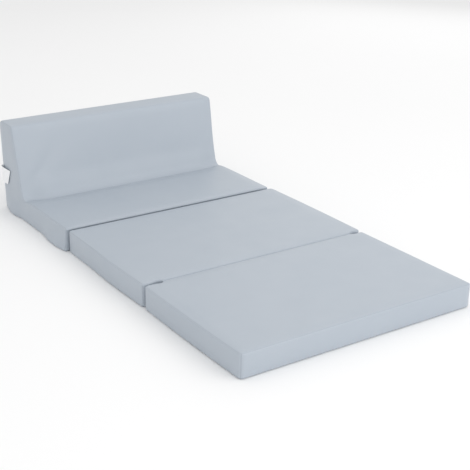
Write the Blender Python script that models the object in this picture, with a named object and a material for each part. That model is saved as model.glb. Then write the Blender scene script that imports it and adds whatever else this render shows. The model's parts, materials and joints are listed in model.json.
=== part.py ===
"""Kids' flip open sofa: three cushions joined by two sewn fabric hinges, opened flat on the floor.

Metres, +Z up. The foot end faces -Y and the backrest stands at +Y. The origin is on the floor, under the
middle of the opened sofa. Each cushion is a foam core in a cover of sewn vinyl panels with a zip at its rear.
"""

from collections import namedtuple
from math import atan2, cos, pi, sin, tan

import bmesh
import bpy
from mathutils import Vector

MM = 0.001

# The sofa as it lies opened
SOFA_WIDTH = 813 * MM
FOOT_LENGTH = 495 * MM
MIDDLE_LENGTH = 503 * MM
BACK_LENGTH = 505 * MM
CUSHION_THICKNESS = 76 * MM

# The backrest, whose height counts from the floor
REST_HEIGHT = 320 * MM
REST_TOP_DEPTH = 96 * MM
REST_SEAT_DEPTH = 163 * MM
REST_LEAN = 12 * MM

# The vinyl covers: sewn panels with a narrow gap at each seam, and the same gap to the foam
COVER_THICKNESS = 1 * MM
CLEARANCE = 0.3 * MM
SEAM_ANGLE = pi / 4
SEAM_SHARE = 0.5

# Rounding of the flat cushions: upright corners, then top and bottom edges
CUSHION_CORNER_RADIUS = 12 * MM
CUSHION_EDGE_RADIUS = 6.5 * MM

# Rounding of the back section: edges that run across the sofa, the crease, then both side edges
FLOOR_EDGE_RADIUS = 9 * MM
SEAT_EDGE_RADIUS = 11 * MM
REST_EDGE_RADIUS = 14 * MM
CREASE_RADIUS = 24 * MM
SIDE_EDGE_RADIUS = 6 * MM
MOST_SIDE_EDGE_SHARE = 0.8

# Fabric hinges: two leaves stand back to back in the gap between two cushions
LEAF_THICKNESS = 1 * MM
LEAF_HEIGHT = 21 * MM
LEAF_GAP = 0.4 * MM
LEAF_EDGE_DEPTH = 0.6 * MM
HINGE_END_MARGIN = 40 * MM
FOLD_ROOM = 2 * MM

# Zips: a tape between two bands of the cover, a coil along it and a slider over the coil, which has no
# pull tab, as on covers that children shall not open
ZIP_TAPE_WIDTH = 20 * MM
ZIP_TAPE_THICKNESS = 0.6 * MM
ZIP_TAPE_DEPTH = 0.3 * MM
ZIP_COIL_WIDTH = 4.6 * MM
ZIP_COIL_THICKNESS = 1.1 * MM
ZIP_END_MARGIN = 6 * MM
SLIDER_LENGTH = 10 * MM
SLIDER_PLATE = 0.9 * MM
SLIDER_END_MARGIN = 4 * MM

# The blank label sewn into the rear left seam of the backrest, curled forward beside it
LABEL_HEIGHT = 58 * MM
LABEL_CENTRE_HEIGHT = 131 * MM
LABEL_THICKNESS = 0.5 * MM
LABEL_REACH = 44 * MM
LABEL_BULGE_BACK = 9 * MM
LABEL_BULGE_OUT = 15 * MM
LABEL_END_OUT = 6 * MM

# Facets
CORNER_STEPS = 6
EDGE_STEPS = 4
LABEL_STEPS = 8

# Colours as sRGB, with roughness and metallic value
VINYL = ("blue_grey_vinyl", (0.757, 0.784, 0.820), 0.45, 0.0)
FOAM = ("cream_foam", (0.930, 0.900, 0.800), 0.95, 0.0)
TAPE = ("grey_zip_tape", (0.610, 0.640, 0.680), 0.85, 0.0)
COIL = ("grey_zip_coil", (0.500, 0.530, 0.570), 0.40, 0.0)
METAL = ("zip_slider_metal", (0.720, 0.730, 0.740), 0.30, 1.0)
LABEL = ("white_label", (0.950, 0.950, 0.960), 0.70, 0.0)

# Places along the sofa
HALF_WIDTH = SOFA_WIDTH / 2
SKIN_DEPTH = COVER_THICKNESS + CLEARANCE
CUSHION_GAP = 2 * (CLEARANCE + LEAF_THICKNESS) + LEAF_GAP
OPEN_LENGTH = FOOT_LENGTH + MIDDLE_LENGTH + BACK_LENGTH + 2 * CUSHION_GAP
FOOT_NEAR = -(OPEN_LENGTH + REST_LEAN) / 2
FOOT_FAR = FOOT_NEAR + FOOT_LENGTH
MIDDLE_NEAR = FOOT_FAR + CUSHION_GAP
MIDDLE_FAR = MIDDLE_NEAR + MIDDLE_LENGTH
BACK_NEAR = MIDDLE_FAR + CUSHION_GAP
BACK_FAR = BACK_NEAR + BACK_LENGTH
MIDDLE_PIVOT = Vector((0, (FOOT_FAR + MIDDLE_NEAR) / 2, CUSHION_THICKNESS + FOLD_ROOM))
BACK_PIVOT = Vector((0, (MIDDLE_FAR + BACK_NEAR) / 2, -FOLD_ROOM))

# Zip heights: each zip stays clear of the hinge leaf on the same face
ZIP_BELOW_LEAF = (CUSHION_THICKNESS - LEAF_HEIGHT) / 2
ZIP_ABOVE_LEAF = (CUSHION_THICKNESS + LEAF_HEIGHT) / 2

Corner = namedtuple("Corner", "centre radius side first_angle turn")


def clear_scene():
    for old in list(bpy.data.objects):
        bpy.data.objects.remove(old, do_unlink=True)


def linear(value):
    """One sRGB channel as a linear value."""
    return value / 12.92 if value <= 0.04045 else ((value + 0.055) / 1.055) ** 2.4


def material(look):
    name, colour, roughness, metallic = look
    found = bpy.data.materials.get(name)
    if found:
        return found
    made = bpy.data.materials.new(name)
    made.use_nodes = True
    shader = made.node_tree.nodes["Principled BSDF"]
    shader.inputs["Base Color"].default_value = (*(linear(channel) for channel in colour), 1)
    shader.inputs["Roughness"].default_value = roughness
    shader.inputs["Metallic"].default_value = metallic
    return made


def place_of(carrier):
    """Where an empty stands in the world, counted up its chain of parents."""
    return carrier.location + place_of(carrier.parent) if carrier else Vector((0, 0, 0))


def pivot(name, place, parent=None):
    """An empty on a joint's axis, which carries the pieces that turn about it."""
    empty = bpy.data.objects.new(name, None)
    bpy.context.collection.objects.link(empty)
    empty.parent = parent
    empty.location = place - place_of(parent)
    return empty


def flat(point, level):
    """An outline that lies flat, with its levels going up."""
    return Vector((point.x, point.y, level))


def crosswise(point, level):
    """An outline seen from the side, with its levels going across the sofa."""
    return Vector((level, point.x, point.y))


def solid(name, rows, look, body, smooth=True, origin=Vector((0, 0, 0))):
    """A closed solid through rows of points, with its first and last rows filled."""
    mesh = bpy.data.meshes.new(name)
    shape = bmesh.new()
    rings = [[shape.verts.new(point - origin) for point in row] for row in rows]
    for ring, following in zip(rings, rings[1:]):
        for index in range(len(ring)):
            after = (index + 1) % len(ring)
            shape.faces.new((ring[index], ring[after], following[after], following[index]))
    shape.faces.new(rings[0])
    shape.faces.new(rings[-1])
    bmesh.ops.recalc_face_normals(shape, faces=shape.faces)
    shape.to_mesh(mesh)
    shape.free()
    if smooth:
        mesh.shade_smooth()
        mesh.set_sharp_from_angle(angle=SEAM_ANGLE)
    mesh.materials.append(material(look))
    piece = bpy.data.objects.new(name, mesh)
    bpy.context.collection.objects.link(piece)
    piece.parent = body
    piece.location = origin - place_of(body)


def rounded_corners(points, radii):
    """The rounded corners of an outline that runs counter-clockwise. One that bends inwards gets a fillet."""
    corners = []
    for index, (point, radius) in enumerate(zip(points, radii)):
        before = (point - points[index - 1]).normalized()
        after = (points[(index + 1) % len(points)] - point).normalized()
        turn = atan2(before.cross(after), before.dot(after))
        side = 1 if turn > 0 else -1
        start = point - before * radius * tan(abs(turn) / 2)
        outward = Vector((before.y, -before.x))
        corners.append(Corner(start - outward * radius * side, radius, side, atan2(outward.y, outward.x), turn))
    return corners


def stations(corner, first=0.0, last=1.0):
    """Points on a rounded corner, each with its outward normal, from one share of the turn to another."""
    steps = max(1, round(CORNER_STEPS * (last - first)))
    found = []
    for step in range(steps + 1):
        angle = corner.first_angle + corner.turn * (first + (last - first) * step / steps)
        outward = Vector((cos(angle), sin(angle)))
        found.append((corner.centre + outward * corner.radius * corner.side, outward))
    return found


def half_gap_share(corner):
    """Half a seam's gap as a share of a corner's turn, measured where the cover's wall is tightest."""
    tightest = corner.radius - max(corner.side, 0) * COVER_THICKNESS
    return CLEARANCE / 2 / (tightest * abs(corner.turn))


def after_seam(corner):
    return stations(corner, SEAM_SHARE + half_gap_share(corner), 1.0)


def before_seam(corner):
    return stations(corner, 0.0, SEAM_SHARE - half_gap_share(corner))


def ring(corners, inset, level, turned):
    """The whole outline moved inwards, at one level."""
    return [turned(point - outward * inset, level) for corner in corners for point, outward in stations(corner)]


def edge_curve(radius, inset, level, inward, first, last):
    """A rounded edge as (inset, level) pairs. Angle 0 lies on the wall, and a quarter turn lies on the end."""
    steps = max(1, round(EDGE_STEPS * abs(last - first) / (pi / 2)))
    angles = [first + (last - first) * step / steps for step in range(steps + 1)]
    return [(inset + radius * (1 - cos(angle)), level + inward * radius * (1 - sin(angle))) for angle in angles]


def half_gap_angle(radius):
    return CLEARANCE / 2 / (radius - COVER_THICKNESS)


def foam_core(name, corners, low, high, radius, turned, body):
    """A foam block that fills its cover, with the clearance all round."""
    core_radius = radius - SKIN_DEPTH
    edge = edge_curve(core_radius, SKIN_DEPTH, low + SKIN_DEPTH, 1, pi / 2, 0)
    edge += edge_curve(core_radius, SKIN_DEPTH, high - SKIN_DEPTH, -1, 0, pi / 2)
    solid(name, [ring(corners, inset, level, turned) for inset, level in edge], FOAM, body)


def end_cover(name, corners, end, inward, radius, turned, body):
    """A flat cover panel whose rim curls over the rounded edge, down to the seam."""
    seam = SEAM_ANGLE + half_gap_angle(radius)
    inner_end = end + inward * COVER_THICKNESS
    edge = edge_curve(radius, 0, end, inward, pi / 2, seam)
    edge += edge_curve(radius - COVER_THICKNESS, COVER_THICKNESS, inner_end, inward, seam, pi / 2)
    solid(name, [ring(corners, inset, level, turned) for inset, level in edge], VINYL, body)


def wall_section(low, high, radius, curled=(True, True), outer=0.0, inner=COVER_THICKNESS):
    """The section of a cover's wall as (inset, level) pairs. A curled end runs round the edge to the seam."""
    seam = SEAM_ANGLE - half_gap_angle(radius)
    faces = []
    for depth in (outer, inner):
        start = edge_curve(radius - depth, depth, low + depth, 1, seam, 0) if curled[0] else [(depth, low)]
        end = edge_curve(radius - depth, depth, high - depth, -1, 0, seam) if curled[1] else [(depth, high)]
        faces.append(start + end)
    return faces[0] + faces[1][::-1]


def wall(name, path, section, turned, body, look=VINYL):
    """A strip of cover that follows a path of stations with one section."""
    rows = [[turned(point - outward * inset, level) for inset, level in section] for point, outward in path]
    solid(name, rows, look, body)


def block(name, low, high, look, body):
    """A plain plate between two opposite corners."""
    rows = [
        [Vector((low.x, low.y, level)), Vector((high.x, low.y, level)),
         Vector((high.x, high.y, level)), Vector((low.x, high.y, level))]
        for level in (low.z, high.z)
    ]
    solid(name, rows, look, body, smooth=False)


def rod_on_face(name, station, section, start, end, look, body):
    """A bar across the sofa. Its section is given as (up along the face, outward from the face) pairs."""
    point, outward = station
    upward = Vector((-outward.y, outward.x))
    places = [point + upward * along + outward * out for along, out in section]
    rows = [[crosswise(place, level) for place in places] for level in (start, end)]
    solid(name, rows, look, body, origin=crosswise(point, (start + end) / 2))


def zip_coil_and_slider(name, station, body):
    """The closed coil on its tape, and the slider that stands at the right-hand end and runs along it."""
    base = CLEARANCE - ZIP_TAPE_DEPTH
    top = base + ZIP_COIL_THICKNESS
    half = ZIP_COIL_WIDTH / 2
    shoulder = half / 2
    coil = [(-half, base), (half, base), (half, (base + top) / 2), (shoulder, top), (-shoulder, top),
            (-half, (base + top) / 2)]
    coil_end = HALF_WIDTH - CUSHION_CORNER_RADIUS - ZIP_END_MARGIN
    rod_on_face(f"{name}_zip_coil", station, coil, -coil_end, coil_end, COIL, body)

    under = top + CLEARANCE
    over = under + SLIDER_PLATE
    inside = half + CLEARANCE
    outside = inside + SLIDER_PLATE
    bridge = [(-outside, base), (-inside, base), (-inside, under), (inside, under), (inside, base),
              (outside, base), (outside, over), (-outside, over)]
    slider_end = coil_end - SLIDER_END_MARGIN
    rod_on_face(f"{name}_zip_slider", station, bridge, slider_end - SLIDER_LENGTH, slider_end, METAL, body)


def hinge_leaf(name, start, low, body):
    """One leaf of a fabric hinge, upright in the gap between two cushions."""
    reach = HALF_WIDTH - HINGE_END_MARGIN
    corner = Vector((-reach, start, low))
    block(name, corner, corner + Vector((2 * reach, LEAF_THICKNESS, LEAF_HEIGHT)), VINYL, body)


def flat_cushion(name, near, far, zip_height, body):
    """A flat cushion: foam, top, bottom, two sides, the front and a rear that is split by the zip."""
    outline = [Vector(place) for place in
               ((-HALF_WIDTH, near), (HALF_WIDTH, near), (HALF_WIDTH, far), (-HALF_WIDTH, far))]
    corners = rounded_corners(outline, [CUSHION_CORNER_RADIUS] * len(outline))
    front_left, front_right, rear_right, rear_left = corners
    radius = CUSHION_EDGE_RADIUS
    top = CUSHION_THICKNESS

    foam_core(f"{name}_foam", corners, 0, top, radius, flat, body)
    end_cover(f"{name}_top_cover", corners, top, -1, radius, flat, body)
    end_cover(f"{name}_bottom_cover", corners, 0, 1, radius, flat, body)

    whole = wall_section(0, top, radius)
    wall(f"{name}_left_side", after_seam(rear_left) + before_seam(front_left), whole, flat, body)
    wall(f"{name}_right_side", after_seam(front_right) + before_seam(rear_right), whole, flat, body)
    wall(f"{name}_front_panel", after_seam(front_left) + before_seam(front_right), whole, flat, body)

    zip_low = zip_height - ZIP_TAPE_WIDTH / 2
    zip_high = zip_height + ZIP_TAPE_WIDTH / 2
    rear = after_seam(rear_right) + before_seam(rear_left)
    lower = wall_section(0, zip_low - CLEARANCE, radius, (True, False))
    upper = wall_section(zip_high + CLEARANCE, top, radius, (False, True))
    tape = wall_section(zip_low, zip_high, radius, (False, False), ZIP_TAPE_DEPTH,
                        ZIP_TAPE_DEPTH + ZIP_TAPE_THICKNESS)
    wall(f"{name}_rear_lower_band", rear, lower, flat, body)
    wall(f"{name}_rear_upper_band", rear, upper, flat, body)
    wall(f"{name}_zip_tape", rear, tape, flat, body, TAPE)
    zip_coil_and_slider(name, (Vector((far, zip_height)), Vector((1, 0))), body)


def back_section(body):
    """The cushion with the backrest, whose outline is seen from the side."""
    rest_front = BACK_FAR + REST_LEAN - REST_TOP_DEPTH
    crease = BACK_FAR - REST_SEAT_DEPTH
    outline = [Vector(place) for place in (
        (BACK_NEAR, 0), (BACK_FAR, 0), (BACK_FAR + REST_LEAN, REST_HEIGHT), (rest_front, REST_HEIGHT),
        (crease, CUSHION_THICKNESS), (BACK_NEAR, CUSHION_THICKNESS))]
    radii = [FLOOR_EDGE_RADIUS, FLOOR_EDGE_RADIUS, REST_EDGE_RADIUS, REST_EDGE_RADIUS, CREASE_RADIUS,
             SEAT_EDGE_RADIUS]
    corners = rounded_corners(outline, radii)
    floor_front, floor_rear, top_rear, top_front, inner, seat_front = corners
    radius = min(SIDE_EDGE_RADIUS, MOST_SIDE_EDGE_SHARE * min(radii))

    def on_rear(height):
        """A station on the leaning rear face, at a height above the floor."""
        along = (outline[2] - outline[1]).normalized()
        return outline[1] + along * height / along.y, Vector((along.y, -along.x))

    def on_face(height):
        """The place on the backrest's front face at a height above the floor."""
        return outline[4] + (outline[3] - outline[4]) * (height - outline[4].y) / (outline[3].y - outline[4].y)

    slab = [outline[0], outline[1], on_rear(CUSHION_THICKNESS)[0], outline[5]]
    slab_corners = rounded_corners(slab, [radii[0], radii[1], FLOOR_EDGE_RADIUS, radii[5]])
    foam_core("back_seat_foam", slab_corners, -HALF_WIDTH, HALF_WIDTH, radius, crosswise, body)
    glue_line = CUSHION_THICKNESS - 2 * SKIN_DEPTH + CLEARANCE
    wedge = [on_face(glue_line), on_rear(glue_line)[0], outline[2], outline[3]]
    wedge_corners = rounded_corners(wedge, [FLOOR_EDGE_RADIUS, FLOOR_EDGE_RADIUS, radii[2], radii[3]])
    foam_core("back_rest_foam", wedge_corners, -HALF_WIDTH, HALF_WIDTH, radius, crosswise, body)

    end_cover("back_left_side", corners, -HALF_WIDTH, 1, radius, crosswise, body)
    end_cover("back_right_side", corners, HALF_WIDTH, -1, radius, crosswise, body)

    across = wall_section(-HALF_WIDTH, HALF_WIDTH, radius)
    wall("back_bottom_cover", after_seam(floor_front) + before_seam(floor_rear), across, crosswise, body)
    rest = after_seam(top_rear) + stations(top_front) + before_seam(inner)
    wall("back_rest_cover", rest, across, crosswise, body)
    wall("back_seat_cover", after_seam(inner) + before_seam(seat_front), across, crosswise, body)
    wall("back_front_panel", after_seam(seat_front) + before_seam(floor_front), across, crosswise, body)

    zip_low = ZIP_BELOW_LEAF - ZIP_TAPE_WIDTH / 2
    zip_high = ZIP_BELOW_LEAF + ZIP_TAPE_WIDTH / 2
    lower = after_seam(floor_rear) + [on_rear(zip_low - CLEARANCE)]
    upper = [on_rear(zip_high + CLEARANCE)] + before_seam(top_rear)
    tape = wall_section(-HALF_WIDTH, HALF_WIDTH, radius, (True, True), ZIP_TAPE_DEPTH,
                        ZIP_TAPE_DEPTH + ZIP_TAPE_THICKNESS)
    wall("back_rear_lower_band", lower, across, crosswise, body)
    wall("back_rear_upper_panel", upper, across, crosswise, body)
    wall("back_zip_tape", [on_rear(zip_low), on_rear(zip_high)], tape, crosswise, body, TAPE)
    zip_coil_and_slider("back", on_rear(ZIP_BELOW_LEAF), body)
    blank_label(on_rear, radius, body)


def blank_label(on_rear, radius, body):
    """A blank woven label. It leaves the rear left seam, turns forward and lies off the side face."""
    def route(share, height):
        """The label's middle line in plan, as a smooth curve through four guides."""
        rear = on_rear(height)[0].x
        edge_centre = Vector((-HALF_WIDTH + radius, rear - radius))
        guides = (
            edge_centre + Vector((-cos(SEAM_ANGLE), sin(SEAM_ANGLE))) * (radius + CLEARANCE),
            Vector((-HALF_WIDTH - LABEL_BULGE_OUT / 2, rear + LABEL_BULGE_BACK)),
            Vector((-HALF_WIDTH - LABEL_BULGE_OUT, rear)),
            Vector((-HALF_WIDTH - LABEL_END_OUT, rear - LABEL_REACH)),
        )
        rest = 1 - share
        weights = (rest ** 3, 3 * rest ** 2 * share, 3 * rest * share ** 2, share ** 3)
        return sum((guide * weight for guide, weight in zip(guides, weights)), Vector((0, 0)))

    low = LABEL_CENTRE_HEIGHT - LABEL_HEIGHT / 2
    high = LABEL_CENTRE_HEIGHT + LABEL_HEIGHT / 2
    rows = []
    for step in range(LABEL_STEPS + 1):
        share = step / LABEL_STEPS
        nearby = 1 / (2 * LABEL_STEPS)
        row = []
        for height, side in ((low, 1), (low, -1), (high, -1), (high, 1)):
            along = route(min(share + nearby, 1), height) - route(max(share - nearby, 0), height)
            across = Vector((-along.y, along.x)).normalized()
            row.append(flat(route(share, height) + across * side * LABEL_THICKNESS / 2, height))
        rows.append(row)
    solid("back_label", rows, LABEL, body)


def build():
    clear_scene()
    middle = pivot("middle_pivot", MIDDLE_PIVOT)
    back = pivot("back_pivot", BACK_PIVOT, middle)

    flat_cushion("foot", FOOT_NEAR, FOOT_FAR, ZIP_BELOW_LEAF, None)
    flat_cushion("middle", MIDDLE_NEAR, MIDDLE_FAR, ZIP_ABOVE_LEAF, middle)
    back_section(back)

    upper = CUSHION_THICKNESS - LEAF_EDGE_DEPTH - LEAF_HEIGHT
    near_leaf = CLEARANCE
    far_leaf = CLEARANCE + LEAF_THICKNESS
    hinge_leaf("foot_hinge_leaf", FOOT_FAR + near_leaf, upper, None)
    hinge_leaf("middle_front_hinge_leaf", MIDDLE_NEAR - far_leaf, upper, middle)
    hinge_leaf("middle_rear_hinge_leaf", MIDDLE_FAR + near_leaf, LEAF_EDGE_DEPTH, middle)
    hinge_leaf("back_hinge_leaf", BACK_NEAR - far_leaf, LEAF_EDGE_DEPTH, back)


build()
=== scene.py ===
"""Kids' flip open sofa, opened flat: padded vinyl cushions, fabric hinges, zips and a blank label.

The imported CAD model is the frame: it gives the places and the joints, and the padded covers, the hinge
strips and the detailed zips stand for its nodes. Metres, +Z up, the foot end faces -Y.
"""

import json
from math import atan2, cos, dist, pi, radians, sin, tan

import bmesh
import bpy
import numpy as np
from bpy.props import FloatProperty, FloatVectorProperty, PointerProperty
from mathutils import Matrix, Vector, kdtree, noise


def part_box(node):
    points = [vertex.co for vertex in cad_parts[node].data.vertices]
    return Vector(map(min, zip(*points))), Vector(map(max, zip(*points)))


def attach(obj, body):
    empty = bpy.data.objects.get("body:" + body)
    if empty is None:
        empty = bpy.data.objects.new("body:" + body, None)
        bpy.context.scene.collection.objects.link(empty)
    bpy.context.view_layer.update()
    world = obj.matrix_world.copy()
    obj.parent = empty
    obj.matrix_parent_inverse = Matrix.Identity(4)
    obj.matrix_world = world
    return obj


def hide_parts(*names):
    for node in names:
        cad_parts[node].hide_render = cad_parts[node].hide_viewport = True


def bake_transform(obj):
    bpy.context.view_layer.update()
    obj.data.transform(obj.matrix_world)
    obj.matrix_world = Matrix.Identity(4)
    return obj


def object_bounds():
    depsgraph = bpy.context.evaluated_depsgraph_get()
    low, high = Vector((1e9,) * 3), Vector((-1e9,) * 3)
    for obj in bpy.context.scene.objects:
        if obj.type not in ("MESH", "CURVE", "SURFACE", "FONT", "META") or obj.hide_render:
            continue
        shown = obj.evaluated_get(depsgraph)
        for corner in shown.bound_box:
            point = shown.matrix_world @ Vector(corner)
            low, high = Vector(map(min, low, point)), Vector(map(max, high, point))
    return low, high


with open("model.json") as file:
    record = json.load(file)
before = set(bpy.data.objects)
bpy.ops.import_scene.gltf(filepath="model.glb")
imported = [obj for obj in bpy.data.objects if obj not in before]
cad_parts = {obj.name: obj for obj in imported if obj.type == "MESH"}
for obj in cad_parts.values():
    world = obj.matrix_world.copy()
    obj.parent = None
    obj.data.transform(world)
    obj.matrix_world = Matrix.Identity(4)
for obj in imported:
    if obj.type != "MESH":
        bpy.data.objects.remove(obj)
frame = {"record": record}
CAD_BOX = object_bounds()

bl_info = {
    "name": "Kids' flip open sofa",
    "version": (1, 0, 0),
    "blender": (4, 5, 0),
    "location": "3D View > Sidebar > Sofa",
    "description": "Models the padded covers, hinges, zips and label of a flip open sofa on its CAD frame",
    "category": "Object",
}

MM = 0.001
X, Y, Z = 0, 1, 2
SMALL = 1e-5

# Nodes of a body that its padded cushion stands for
CUSHION_ENDS = ("_foam", "_cover", "_side", "_panel", "_band")

# Depths of the seams, as shares of the deepest one's; the finish paints a seam darker the deeper it is, partly
# as dust and partly as painted shade
RIM_SEAM, CREASE_SEAM, CORNER_SEAM = 0.4, 0.6, 0.8

# Cuts across a rounded edge, and where its middle lies, as a share of its radius inward from each face
ARC_STEPS = 4
MID_ROLL = 1 - cos(pi / 4)

# The back section seen from the side: its lines as in the CAD source, and the radii of its corners
REST_LEAN = 12 * MM
REST_TOP_DEPTH = 96 * MM
REST_SEAT_DEPTH = 163 * MM
FLOOR_EDGE, SEAT_EDGE, REST_EDGE, CREASE = 5.5 * MM, 7 * MM, 11 * MM, 30 * MM

# Sockets of a Mix node that mixes colours
FACTOR, FIRST, SECOND, MIXED = 0, 6, 7, 2


# Sizes and colours that a user changes


def linear(code):
    """An sRGB hex colour as a linear RGBA colour."""
    channels = [int(code[place:place + 2], 16) / 255 for place in (1, 3, 5)]
    return (*(c / 12.92 if c <= 0.04045 else ((c + 0.055) / 1.055) ** 2.4 for c in channels), 1)


def length(name, description, millimetres):
    return FloatProperty(name=name, description=description, default=millimetres * MM, min=0, unit="LENGTH")


def finish_colour(name, description, code):
    return FloatVectorProperty(name=name, description=description, default=linear(code), size=4, min=0, max=1,
                               subtype="COLOR")


class SofaSizes(bpy.types.PropertyGroup):
    corner: length("Upright corners", "Radius of the flat cushions' upright corners", 10)
    edge: length("Edges", "Radius of the flat cushions' top and bottom edges", 5.5)
    side_edge: length("Side edges", "Radius of the back section's side edges", 5)
    cell: length("Cell", "Largest cell of a cushion's mesh before its last subdivision", 13.5)
    slack: length("Slack", "How far the cover starts inside its full size, before it is stuffed", 0.2)
    swell: length("Swell", "Most that a stuffed face stands out from where it starts", 1.7)
    draw_in: length("Draw in", "Most that a side is drawn in between its corners", 0.2)
    plump: length("Plump", "How far the foam presses the free sides outward, down to the floor", 3.2)
    gap_draw: length("Gap", "How far the faces that meet another cushion are drawn in", 1.6)
    slot_draw: length("Open ends", "How much further they are drawn in past the ends of the upper hinge", 2.2)
    slot_hole: length("Slot", "How much further still right at the ends of the upper hinge", 6.5)
    hinge_left: length("Hinge's left end", "Distance of the upper hinge strip from the left side", 63)
    rear_draw: length("Rear gap", "How far the middle cushion's rear face is drawn in over the hinge", 1.9)
    recess: length("Recess", "How far the seat's front face falls back under its upper edge", 3.6)
    sink: length("Sunk seam", "How far the seat sinks to the seam in front of the backrest", 9)
    foot_swell: length("Backrest's foot", "How far the backrest swells over that seam", 10)
    valley: length("Valley", "How far the tops sink toward the upper hinge", 1.2)
    seam_width: length("Seam width", "Width of the groove along a seam", 1.1)
    seam_depth: length("Seam depth", "Depth of the groove along the deepest seam", 1)
    turning: length("Turnings", "Width of the seam turnings that show through the cover", 15)
    turning_rise: length("Turnings' rise", "How far the turnings lift the cover", 0.6)
    ripple: length("Ripple", "Height of the slow unevenness of the vinyl", 0.4)
    voxel: length("Voxel", "Cell of the remeshed copy that is stuffed as cloth", 8)
    zip_recess: length("Zip recess", "Depth of the slot that the zip tape lies in", 1.2)
    zip_slot: length("Zip slot", "Width of the slot between the two lips of the cover", 12)
    tooth_pitch: length("Coil pitch", "Distance from one turn of the zip's coil to the next", 2)
    stitch: length("Stitch", "Length of one stitch along the zips", 2.9)
    stitch_gap: length("Stitch gap", "Gap between two stitches", 0.9)
    thread: length("Thread", "Thickness of the sewing thread", 0.55)
    strip: length("Hinge strip", "Thickness of the hinge strips' vinyl", 0.8)
    strip_sag: length("Hinge sag", "Slack of a hinge strip between two cushions that lie flat", 2.6)
    label: length("Label", "Thickness of the woven label", 0.45)


class SofaColours(bpy.types.PropertyGroup):
    vinyl: finish_colour("Vinyl", "Smooth blue-grey vinyl", "#B1B9C2")
    vinyl_shade: finish_colour("Vinyl, darker patches", "Slow colour variation of the vinyl", "#ABB4BE")
    # Seams: the bottoms of the grooves, painted darker, partly as dust and partly as painted shade
    seam: finish_colour("Seams", "Bottom of the seams", "#7D8591")
    tape: finish_colour("Zip tape", "Woven polyester tape", "#9AA3AE")
    coil: finish_colour("Zip coil", "Nylon coil", "#858D98")
    thread: finish_colour("Thread", "Polyester sewing thread", "#A9B1BC")
    slider: finish_colour("Zip slider", "Nickel-plated zinc", "#B9BABC")
    slider_worn: finish_colour("Zip slider, scratches", "Duller plating in the scratches", "#8F9194")
    label: finish_colour("Label", "White woven satin", "#F8F9FB")
    floor: finish_colour("Floor", "Plain pale floor", "#FAFAFA")


def sizes():
    return bpy.context.scene.sofa_sizes


def colours():
    return bpy.context.scene.sofa_colours


# Finishes

# The label as it was cut, from the seam to its free edge and from its lower to its upper edge
LABEL_CUT = (75 * MM, 58 * MM)

# A wave texture has 20 radians to the unit, so this over a pitch is the scale that repeats at that pitch
WAVE = pi / 10


def darker(colour, share):
    return (*(channel * share for channel in colour[:3]), 1)


def add(tree, kind, inputs=None, output=0, feeds=None, **settings):
    """Adds a node with its settings, and returns one of its outputs.

    Each input takes a value or another node's output. The output may feed an input of the finish's shader.
    """
    made = tree.nodes.new("ShaderNode" + kind)
    for name, value in settings.items():
        setattr(made, name, value)
    for name, value in (inputs or {}).items():
        if isinstance(value, bpy.types.NodeSocket):
            tree.links.new(value, made.inputs[name])
        else:
            made.inputs[name].default_value = value
    if feeds:
        tree.links.new(made.outputs[output], tree.nodes["Principled BSDF"].inputs[feeds])
    return made.outputs[output]


def finish(name, settings):
    """A new material with its shader's settings, its tree, and the place of each point on the object."""
    made = bpy.data.materials.new(name)
    made.use_nodes = True
    for key, value in settings.items():
        made.node_tree.nodes["Principled BSDF"].inputs[key].default_value = value
    return made, made.node_tree, add(made.node_tree, "TexCoord", output="Object")


def soft_vinyl():
    """Plasticised PVC on a knitted back: satin, calendered, with a fine grain from the embossing roll.

    The colour and the shine vary slowly, the bottoms of the seams are painted darker, partly dust and partly
    painted shade, and the grain has cells of 1.3 mm.
    """
    made, tree, place = finish("soft_vinyl", {"Roughness": 0.42, "IOR": 1.53, "Coat Weight": 0.08,
                                              "Coat Roughness": 0.35})
    cloud = add(tree, "TexNoise", {"Vector": place, "Scale": 1 / (160 * MM), "Detail": 3.0})
    base = add(tree, "Mix", {FACTOR: cloud, FIRST: colours().vinyl, SECOND: colours().vinyl_shade}, MIXED,
               data_type="RGBA")
    # Painted shade and dust in the seams: darker by the groove depth noted in the seam attribute
    sewn = add(tree, "Attribute", output="Fac", attribute_name="seam")
    add(tree, "Mix", {FACTOR: sewn, FIRST: base, SECOND: colours().seam}, MIXED, "Base Color",
        data_type="RGBA")
    handled = add(tree, "TexNoise", {"Vector": place, "Scale": 1 / (70 * MM), "Detail": 4.0})
    add(tree, "MapRange", {"Value": handled, "From Min": 0.3, "From Max": 0.7, "To Min": 0.38,
                           "To Max": 0.46}, feeds="Roughness")
    grain = add(tree, "TexVoronoi", {"Vector": place, "Scale": 1 / (1.3 * MM)}, "Distance",
                feature="SMOOTH_F1")
    pores = add(tree, "TexNoise", {"Vector": place, "Scale": 1 / (0.5 * MM), "Detail": 2.0})
    pebble = add(tree, "Bump", {"Height": grain, "Strength": 0.25, "Distance": 0.12 * MM})
    add(tree, "Bump", {"Height": pores, "Strength": 0.2, "Distance": 0.05 * MM, "Normal": pebble},
        feeds="Normal")
    return made


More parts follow.
